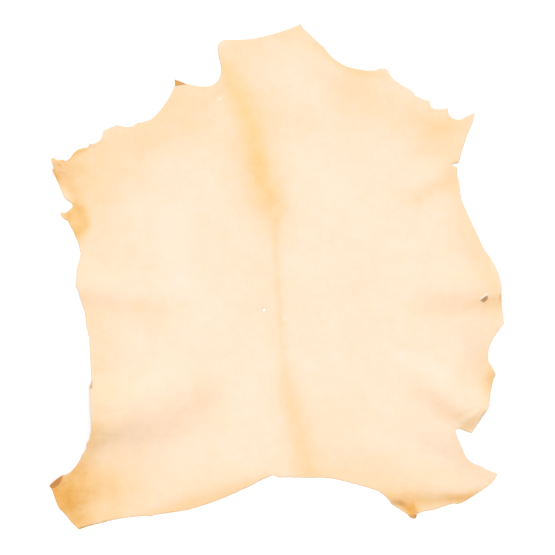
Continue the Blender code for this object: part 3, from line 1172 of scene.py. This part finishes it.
class Wiring:
    """Adds nodes to one node tree and joins them."""

    def __init__(self, tree: bpy.types.NodeTree) -> None:
        """Takes the node tree."""
        self.tree = tree

    def feed(self, socket: bpy.types.NodeSocket, value: object) -> None:
        """Links a socket to another, or sets its value."""
        if isinstance(value, bpy.types.NodeSocket):
            self.tree.links.new(value, socket)
        else:
            socket.default_value = value

    def add(self, kind: str, inputs: dict[str, object] | None = None, **settings: object) -> bpy.types.Node:
        """Adds a node.

        Args:
            kind: The node's type.
            inputs: A value or a socket for each input that isn't left as it is.
            settings: The node's own settings.

        Returns:
            The node.
        """
        node = self.tree.nodes.new(kind)
        for name, value in settings.items():
            setattr(node, name, value)
        for name, value in (inputs or {}).items():
            self.feed(node.inputs[name], value)
        return node

    def math(self, operation: str, *values: object) -> bpy.types.NodeSocket:
        """The result of a Math node on these values."""
        node = self.tree.nodes.new("ShaderNodeMath")
        node.operation = operation
        for socket, value in zip(node.inputs, values):
            self.feed(socket, value)
        return node.outputs[0]

    def ramp(
        self, value: object, low: float, high: float, to_low: float, to_high: float
    ) -> bpy.types.NodeSocket:
        """A value carried evenly from one range to another and held at its ends."""
        inputs = {"Value": value, "From Min": low, "From Max": high, "To Min": to_low, "To Max": to_high}
        return self.add("ShaderNodeMapRange", inputs, interpolation_type="SMOOTHSTEP").outputs["Result"]

    def mix(self, share: object, first: object, second: object, blend: str = "MIX") -> bpy.types.NodeSocket:
        """A colour between two, or the first with the second blended in, by share."""
        node = self.tree.nodes.new("ShaderNodeMix")
        node.data_type = "RGBA"
        node.blend_type = blend
        for index, value in ((0, share), (6, first), (7, second)):
            self.feed(node.inputs[index], value)
        return node.outputs[2]

    def steps(self, value: object, stops: Sequence[tuple[float, tuple]]) -> bpy.types.NodeSocket:
        """A colour read off a row of colours, each at its own place from 0 to 1."""
        node = self.add("ShaderNodeValToRGB", {"Fac": value})
        row = node.color_ramp.elements
        row[0].position, row[1].position = stops[0][0], stops[-1][0]
        row[0].color, row[1].color = stops[0][1], stops[-1][1]
        for place, paint in stops[1:-1]:
            row.new(place).color = paint
        return node.outputs["Color"]

    def attribute(self, name: str, output: str = "Fac") -> bpy.types.NodeSocket:
        """What a mesh attribute holds."""
        node = self.tree.nodes.new("ShaderNodeAttribute")
        node.attribute_name = name
        return node.outputs[output]


def new_group(name: str, inputs: dict[str, float | None], outputs: Sequence[str]) -> tuple[Wiring, dict]:
    """Starts a node group.

    Args:
        name: The group's name.
        inputs: Its inputs, with a starting value for each number and None for a vector.
        outputs: The names of its outputs, all numbers.

    Returns:
        The wiring of its tree, and its input and output nodes by the names "in" and "out".
    """
    tree = bpy.data.node_groups.new(name, "ShaderNodeTree")
    for label, value in inputs.items():
        kind = "NodeSocketVector" if value is None else "NodeSocketFloat"
        socket = tree.interface.new_socket(label, in_out="INPUT", socket_type=kind)
        if value is not None:
            socket.default_value = value
    for label in outputs:
        tree.interface.new_socket(label, in_out="OUTPUT", socket_type="NodeSocketFloat")
    wiring = Wiring(tree)
    return wiring, {"in": wiring.add("NodeGroupInput"), "out": wiring.add("NodeGroupOutput")}


def clouds_group() -> bpy.types.NodeTree:
    """Cloudy changes of tone at three sizes, for every side of the skin."""
    wiring, ends = new_group(
        "skin clouds",
        {"Place": None, "Broad": 9.0, "Middle": 42.0, "Fine": 190.0},
        ("Broad", "Middle", "Fine"),
    )
    for label, detail, rough in (("Broad", 4.0, 0.6), ("Middle", 5.0, 0.6), ("Fine", 4.0, 0.65)):
        texture = wiring.add(
            "ShaderNodeTexNoise",
            {
                "Vector": ends["in"].outputs["Place"],
                "Scale": ends["in"].outputs[label],
                "Detail": detail,
                "Roughness": rough,
                "Distortion": 0.4,
            },
        )
        wiring.feed(ends["out"].inputs[label], texture.outputs["Fac"])
    return wiring.tree


def grain_group() -> bpy.types.NodeTree:
    """The pebbles, pores and fine wrinkles of a grain side."""
    wiring, ends = new_group(
        "skin grain",
        {"Place": None, "Pebbles": 700.0, "Pores": 420.0, "Wrinkles": 60.0, "Wrinkling": 0.2},
        ("Height", "Pores"),
    )
    place = ends["in"].outputs["Place"]
    pebbles = wiring.add(
        "ShaderNodeTexVoronoi",
        {"Vector": place, "Scale": ends["in"].outputs["Pebbles"], "Randomness": 1.0},
        feature="DISTANCE_TO_EDGE",
    )
    pores = wiring.add("ShaderNodeTexVoronoi", {"Vector": place, "Scale": ends["in"].outputs["Pores"]})
    wrinkles = wiring.add(
        "ShaderNodeTexNoise",
        {
            "Vector": place,
            "Scale": ends["in"].outputs["Wrinkles"],
            "Detail": 6.0,
            "Roughness": 0.62,
            "Distortion": 1.6,
        },
    )
    raised = wiring.ramp(pebbles.outputs["Distance"], 0.0, 0.22, 0.0, 0.35)
    pit = wiring.ramp(pores.outputs["Distance"], 0.06, 0.26, 1.0, 0.0)
    furrow = wiring.math("ABSOLUTE", wiring.math("SUBTRACT", wrinkles.outputs["Fac"], 0.5))
    furrow = wiring.ramp(furrow, 0.0, 0.06, -1.0, 0.0)
    furrow = wiring.math("MULTIPLY", furrow, ends["in"].outputs["Wrinkling"])
    height = wiring.math("ADD", wiring.math("SUBTRACT", raised, wiring.math("MULTIPLY", pit, 0.5)), furrow)
    wiring.feed(ends["out"].inputs["Height"], height)
    wiring.feed(ends["out"].inputs["Pores"], pit)
    return wiring.tree


def fibres_group() -> bpy.types.NodeTree:
    """The loose fibres of raw leather, for the flesh side and the cut edge."""
    wiring, ends = new_group(
        "leather fibres", {"Place": None, "Scale": 500.0, "Nap": 40.0}, ("Height", "Nap")
    )
    place = ends["in"].outputs["Place"]
    strands = wiring.add(
        "ShaderNodeTexNoise",
        {
            "Vector": place, "Scale": ends["in"].outputs["Scale"],
            "Detail": 8.0, "Roughness": 0.7, "Distortion": 2.5,
        },
    )
    nap = wiring.add(
        "ShaderNodeTexNoise",
        {
            "Vector": place, "Scale": ends["in"].outputs["Nap"],
            "Detail": 6.0, "Roughness": 0.6, "Distortion": 0.8,
        },
    )
    wiring.feed(ends["out"].inputs["Height"], strands.outputs["Fac"])
    wiring.feed(ends["out"].inputs["Nap"], nap.outputs["Fac"])
    return wiring.tree


def colour(red: int, green: int, blue: int) -> tuple[float, float, float, float]:
    """A colour given as a screen shows it, from 0 to 255, as the shader takes it."""
    shares = (value / 255 for value in (red, green, blue))
    return (*(((s + 0.055) / 1.055) ** 2.4 if s > 0.04045 else s / 12.92 for s in shares), 1.0)


def start_material(name: str) -> tuple[bpy.types.Material, Wiring, bpy.types.Node]:
    """A new material, its wiring and its shader."""
    material = bpy.data.materials.new(name)
    material.use_nodes = True
    return material, Wiring(material.node_tree), material.node_tree.nodes["Principled BSDF"]


@dataclass(frozen=True)
class GrainFinish:
    """The smooth outer side, undyed.

    Tans are its colours from the palest skin to the deepest tan, each with its place from 0 to 1;
    where the tan and shade attribute holds painted shade, the deeper tans stand for that shade.
    Drift is how far clouds of each size move the depth of tan.
    """

    clouds: bpy.types.NodeTree
    grain: bpy.types.NodeTree
    tans: tuple[tuple[float, tuple], ...] = (
        (0.0, colour(246, 226, 208)),
        (0.2, colour(246, 221, 196)),
        (0.4, colour(245, 214, 181)),
        (0.6, colour(241, 206, 161)),
        (0.8, colour(238, 194, 137)),
        (1.0, colour(226, 166, 86)),
    )
    drift: tuple[tuple[str, float], ...] = (("Broad", 0.34), ("Middle", 0.26), ("Fine", 0.10))
    gold: tuple = colour(255, 251, 196)
    # The grey that the painted shade multiplies in.
    painted_shade: tuple = colour(206, 195, 189)
    brown: tuple = colour(172, 118, 72)
    scar: tuple = colour(248, 238, 226)
    roughness: float = 0.55
    specular: float = 0.28
    bump: float = 0.09 * MM

    def make(self) -> bpy.types.Material:
        """The material."""
        material, wiring, shader = start_material("grain side")
        place = wiring.attribute("flat", "Vector")
        clouds = wiring.add("ShaderNodeGroup", {"Place": place}, node_tree=self.clouds)
        grain = wiring.add("ShaderNodeGroup", {"Place": place}, node_tree=self.grain)
        # The depth of tan, which along some folds also holds painted shade.
        tan_and_shade = wiring.attribute(Tone.TAN.value)
        for size, amount in self.drift:
            change = wiring.math("MULTIPLY_ADD", clouds.outputs[size], amount, -amount / 2)
            tan_and_shade = wiring.math("ADD", tan_and_shade, change)
        tint = wiring.steps(tan_and_shade, self.tans)
        uneven = wiring.math("ADD", clouds.outputs["Middle"], 0.5)
        # Gold and the painted shade are multiplied in; brown and scar are mixed over.
        for tone, paint, blend in (
            (Tone.GOLD, self.gold, "MULTIPLY"),
            (Tone.PAINTED_SHADE, self.painted_shade, "MULTIPLY"),
            (Tone.BROWN, self.brown, "MIX"),
            (Tone.SCAR, self.scar, "MIX"),
        ):
            share = wiring.math("MULTIPLY", wiring.attribute(tone.value), uneven)
            tint = wiring.mix(wiring.math("MINIMUM", share, 1.0), tint, paint, blend)
        wiring.feed(shader.inputs["Base Color"], tint)
        rough = wiring.ramp(clouds.outputs["Fine"], 0.3, 0.7, self.roughness - 0.05, self.roughness + 0.07)
        wiring.feed(shader.inputs["Roughness"], rough)
        shader.inputs["Specular IOR Level"].default_value = self.specular
        bump = wiring.add(
            "ShaderNodeBump",
            {"Height": grain.outputs["Height"], "Distance": self.bump, "Strength": 1.0},
        )
        wiring.feed(shader.inputs["Normal"], bump.outputs["Normal"])
        return material


@dataclass(frozen=True)
class FleshFinish:
    """The inner side: short loose fibres, warmer and darker than the grain."""

    clouds: bpy.types.NodeTree
    fibres: bpy.types.NodeTree
    light: tuple = colour(224, 164, 98)
    dark: tuple = colour(196, 132, 76)
    roughness: float = 0.9
    specular: float = 0.1
    bump: float = 0.35 * MM

    def make(self) -> bpy.types.Material:
        """The material."""
        material, wiring, shader = start_material("flesh side")
        place = wiring.attribute("flat", "Vector")
        clouds = wiring.add("ShaderNodeGroup", node_tree=self.clouds)
        fibres = wiring.add("ShaderNodeGroup", node_tree=self.fibres)
        wiring.feed(clouds.inputs["Place"], place)
        wiring.feed(fibres.inputs["Place"], place)
        share = wiring.math("MULTIPLY", clouds.outputs["Broad"], fibres.outputs["Nap"])
        tint = wiring.mix(wiring.ramp(share, 0.12, 0.4, 0.0, 1.0), self.dark, self.light)
        wiring.feed(shader.inputs["Base Color"], tint)
        shader.inputs["Roughness"].default_value = self.roughness
        shader.inputs["Specular IOR Level"].default_value = self.specular
        bump = wiring.add(
            "ShaderNodeBump",
            {"Height": fibres.outputs["Height"], "Distance": self.bump, "Strength": 1.0},
        )
        wiring.feed(shader.inputs["Normal"], bump.outputs["Normal"])
        return material


@dataclass(frozen=True)
class EdgeFinish:
    """The raw cut edge, where the fibres end."""

    fibres: bpy.types.NodeTree
    light: tuple = colour(238, 208, 166)
    dark: tuple = colour(212, 170, 118)
    roughness: float = 0.85
    specular: float = 0.15
    bump: float = 0.2 * MM

    def make(self) -> bpy.types.Material:
        """The material."""
        material, wiring, shader = start_material("cut edge")
        place = wiring.add("ShaderNodeTexCoord").outputs["Object"]
        fibres = wiring.add("ShaderNodeGroup", node_tree=self.fibres)
        wiring.feed(fibres.inputs["Place"], place)
        fibres.inputs["Scale"].default_value = 1400.0
        fibres.inputs["Nap"].default_value = 90.0
        tint = wiring.mix(wiring.ramp(fibres.outputs["Nap"], 0.35, 0.65, 0.0, 1.0), self.dark, self.light)
        wiring.feed(shader.inputs["Base Color"], tint)
        shader.inputs["Roughness"].default_value = self.roughness
        shader.inputs["Specular IOR Level"].default_value = self.specular
        bump = wiring.add(
            "ShaderNodeBump",
            {"Height": fibres.outputs["Height"], "Distance": self.bump, "Strength": 1.0},
        )
        wiring.feed(shader.inputs["Normal"], bump.outputs["Normal"])
        return material


@dataclass(frozen=True)
class Hide:
    """The skin as one closed thin sheet. Sizes are in metres."""

    relief: Relief
    pattern: Pattern
    stains: Stains
    thickness: float = 1.5 * MM
    bulge: float = 0.3 * MM
    fibre: float = 0.12 * MM
    fibre_size: float = 1.6 * MM
    rows: tuple[float, ...] = (0.85, 0.5, 0.15)

    def build(self) -> bpy.types.Object:
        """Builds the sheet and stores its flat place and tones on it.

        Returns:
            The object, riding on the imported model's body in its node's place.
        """
        points, faces, from_edge = self.pattern.cut()
        flesh = self.relief.placed(points, self.relief.lift(points, from_edge))
        up = self._normals(flesh, faces)
        grain = flesh + up * (self.thickness + self.relief.on_grain(points))[:, None]
        starts, ends = self._open_sides(faces)
        bound = np.unique(starts)
        spots, rings, walls = self._edge_rows(flesh, grain, up, starts, ends, bound, 2 * len(points))
        count = len(points)
        corners = np.concatenate((grain, flesh, spots))
        mesh = bpy.data.meshes.new("leather_hide")
        polygons = faces.tolist() + (faces[:, ::-1] + count).tolist() + walls
        mesh.from_pydata(self._centred(corners).tolist(), [], polygons)
        sides = [Side.GRAIN] * len(faces) + [Side.FLESH] * len(faces) + [Side.EDGE] * len(walls)
        mesh.polygons.foreach_set("material_index", sides)
        source = np.concatenate((np.arange(count), np.arange(count), np.tile(bound, len(self.rows))))
        self._store(mesh, points[source], from_edge[source])
        mesh.validate()
        mesh.shade_smooth()
        hide = bpy.data.objects.new("leather_hide", mesh)
        bpy.context.scene.collection.objects.link(hide)
        self._declare(hide)
        return hide

    def _normals(self, points: Array, faces: Array) -> Array:
        """The direction out of the flesh side at each point, toward the grain."""
        spans = points[faces[:, 1:]] - points[faces[:, :1]]
        crossed = np.cross(spans[:, 0], spans[:, 1])
        found = np.zeros_like(points)
        for column in range(3):
            np.add.at(found, faces[:, column], crossed)
        return found / np.linalg.norm(found, axis=1)[:, None]

    def _open_sides(self, faces: Array) -> tuple[Array, Array]:
        """The start and end of each triangle side that only one triangle uses."""
        sides = np.concatenate((faces[:, [0, 1]], faces[:, [1, 2]], faces[:, [2, 0]]))
        _, index, uses = np.unique(np.sort(sides, axis=1), axis=0, return_index=True, return_counts=True)
        single = sides[index[uses == 1]]
        return single[:, 0], single[:, 1]

    def _edge_rows(
        self, flesh: Array, grain: Array, up: Array, starts: Array, ends: Array, bound: Array, first: int
    ) -> tuple[Array, int, list]:
        """The rounded, fibrous wall of the cut edge and of the holes.

        Args:
            flesh: The flesh side's points.
            grain: The grain side's points.
            up: The direction from flesh to grain at each point.
            starts: The start of each open side.
            ends: The end of each open side.
            bound: The points on an open side, each once.
            first: The number of the first new point.

        Returns:
            The new points, how many rows they make, and the wall's faces.
        """
        way = flesh[ends] - flesh[starts]
        out = np.cross(way, up[starts])
        total = np.zeros_like(flesh)
        np.add.at(total, starts, out)
        np.add.at(total, ends, out)
        out = total[bound] / np.maximum(np.linalg.norm(total[bound], axis=1), 1e-9)[:, None]
        spots = []
        for row, share in enumerate(self.rows):
            middle = flesh[bound] + (grain[bound] - flesh[bound]) * share
            rough = np.array([noise.noise(Vector(p / self.fibre_size) + Vector((row, 0, 0))) for p in middle])
            push = self.bulge * math.sin(math.pi * share) + self.fibre * rough
            spots.append(middle + out * push[:, None])
        row_of = np.full(len(flesh), -1)
        row_of[bound] = np.arange(len(bound))
        a, b = row_of[starts], row_of[ends]
        levels = [(starts, ends)]
        levels += [(a + first + row * len(bound), b + first + row * len(bound)) for row in range(len(self.rows))]
        levels.append((starts + len(flesh), ends + len(flesh)))
        walls = []
        for (top_a, top_b), (low_a, low_b) in zip(levels, levels[1:]):
            walls += np.column_stack((top_b, top_a, low_a, low_b)).tolist()
        return np.concatenate(spots), len(self.rows), walls

    def _centred(self, corners: Array) -> Array:
        """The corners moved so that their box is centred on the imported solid's."""
        low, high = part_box(NODE)
        middle = (corners.min(axis=0) + corners.max(axis=0))[:2] / 2
        shift = (np.array(low[:2]) + np.array(high[:2])) / 2 - middle
        LOG.info("moved by %.2f, %.2f mm", *(shift / MM))
        return corners + np.append(shift, 0)

    def _store(self, mesh: bpy.types.Mesh, points: Array, from_edge: Array) -> None:
        """Keeps the flat place and the tones of each point on the mesh."""
        flat = mesh.attributes.new("flat", "FLOAT_VECTOR", "POINT")
        flat.data.foreach_set("vector", np.column_stack((points, np.zeros(len(points)))).ravel())
        for tone, mask in self.stains.masks(points, from_edge).items():
            mesh.attributes.new(tone.value, "FLOAT", "POINT").data.foreach_set("value", mask)

    def _declare(self, hide: bpy.types.Object) -> None:
        """Hangs the sheet on its body and hides the imported solid."""
        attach(hide, BODY)
        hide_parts(NODE)


@dataclass(frozen=True)
class Studio:
    """The pale floor, the soft light from the neck's side, and the camera straight above."""

    floor_size: float = 12.0
    floor_drop: float = 0.3 * MM
    floor_paint: tuple = (0.97, 0.97, 0.97, 1.0)
    sky: float = 0.66
    sun: float = 1.63
    sun_height: float = 70.0
    sun_bearing: float = 92.0
    sun_spread: float = 46.0
    view_width: float = 1.11
    lens: float = 85.0
    sensor: float = 36.0
    aim: tuple[float, float] = (1.6 * MM, -2.1 * MM)

    def build(self) -> None:
        """Sets up the floor, the light and the camera."""
        self._floor()
        self._light()
        self._camera()

    def _floor(self) -> None:
        """Lays the floor."""
        half = self.floor_size / 2
        mesh = bpy.data.meshes.new("floor")
        corners = [(x * half, y * half, -self.floor_drop) for x, y in ((-1, -1), (1, -1), (1, 1), (-1, 1))]
        mesh.from_pydata(corners, [], [(0, 1, 2, 3)])
        floor = bpy.data.objects.new("floor", mesh)
        bpy.context.scene.collection.objects.link(floor)
        material, _, shader = start_material("floor")
        shader.inputs["Base Color"].default_value = self.floor_paint
        shader.inputs["Roughness"].default_value = 1.0
        shader.inputs["Specular IOR Level"].default_value = 0.0
        mesh.materials.append(material)

    def _light(self) -> None:
        """Sets an even sky and one wide soft lamp, so far off that its light is even too."""
        world = bpy.data.worlds.new("studio")
        world.use_nodes = True
        world.node_tree.nodes["Background"].inputs["Color"].default_value = (1.0, 1.0, 1.0, 1.0)
        world.node_tree.nodes["Background"].inputs["Strength"].default_value = self.sky
        bpy.context.scene.world = world
        lamp = bpy.data.lights.new("key", "SUN")
        lamp.energy = self.sun
        lamp.angle = math.radians(self.sun_spread)
        key = bpy.data.objects.new("key", lamp)
        place = Vector((*unit(self.sun_bearing) * math.cos(math.radians(self.sun_height)),
                        math.sin(math.radians(self.sun_height))))
        key.rotation_euler = place.to_track_quat("Z", "Y").to_euler()
        bpy.context.scene.collection.objects.link(key)

    def _camera(self) -> None:
        """Sets the camera straight above, with the neck at the top of the picture."""
        data = bpy.data.cameras.new("camera")
        data.lens = self.lens
        data.sensor_width = self.sensor
        camera = bpy.data.objects.new("camera", data)
        camera.location = (*self.aim, self.view_width * self.lens / self.sensor)
        bpy.context.scene.collection.objects.link(camera)
        bpy.context.scene.camera = camera


def main() -> None:
    """Builds the hide and the studio."""
    logging.basicConfig(level=logging.INFO, format="%(name)s: %(message)s")
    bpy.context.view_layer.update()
    bpy.context.scene.view_settings.view_transform = "Standard"
    relief = Relief()
    hide = Hide(relief, Pattern(relief), Stains()).build()
    clouds, grain, fibres = clouds_group(), grain_group(), fibres_group()
    for finish in (GrainFinish(clouds, grain), FleshFinish(clouds, fibres), EdgeFinish(fibres)):
        hide.data.materials.append(finish.make())
    Studio().build()


if __name__ == "__main__":
    main()
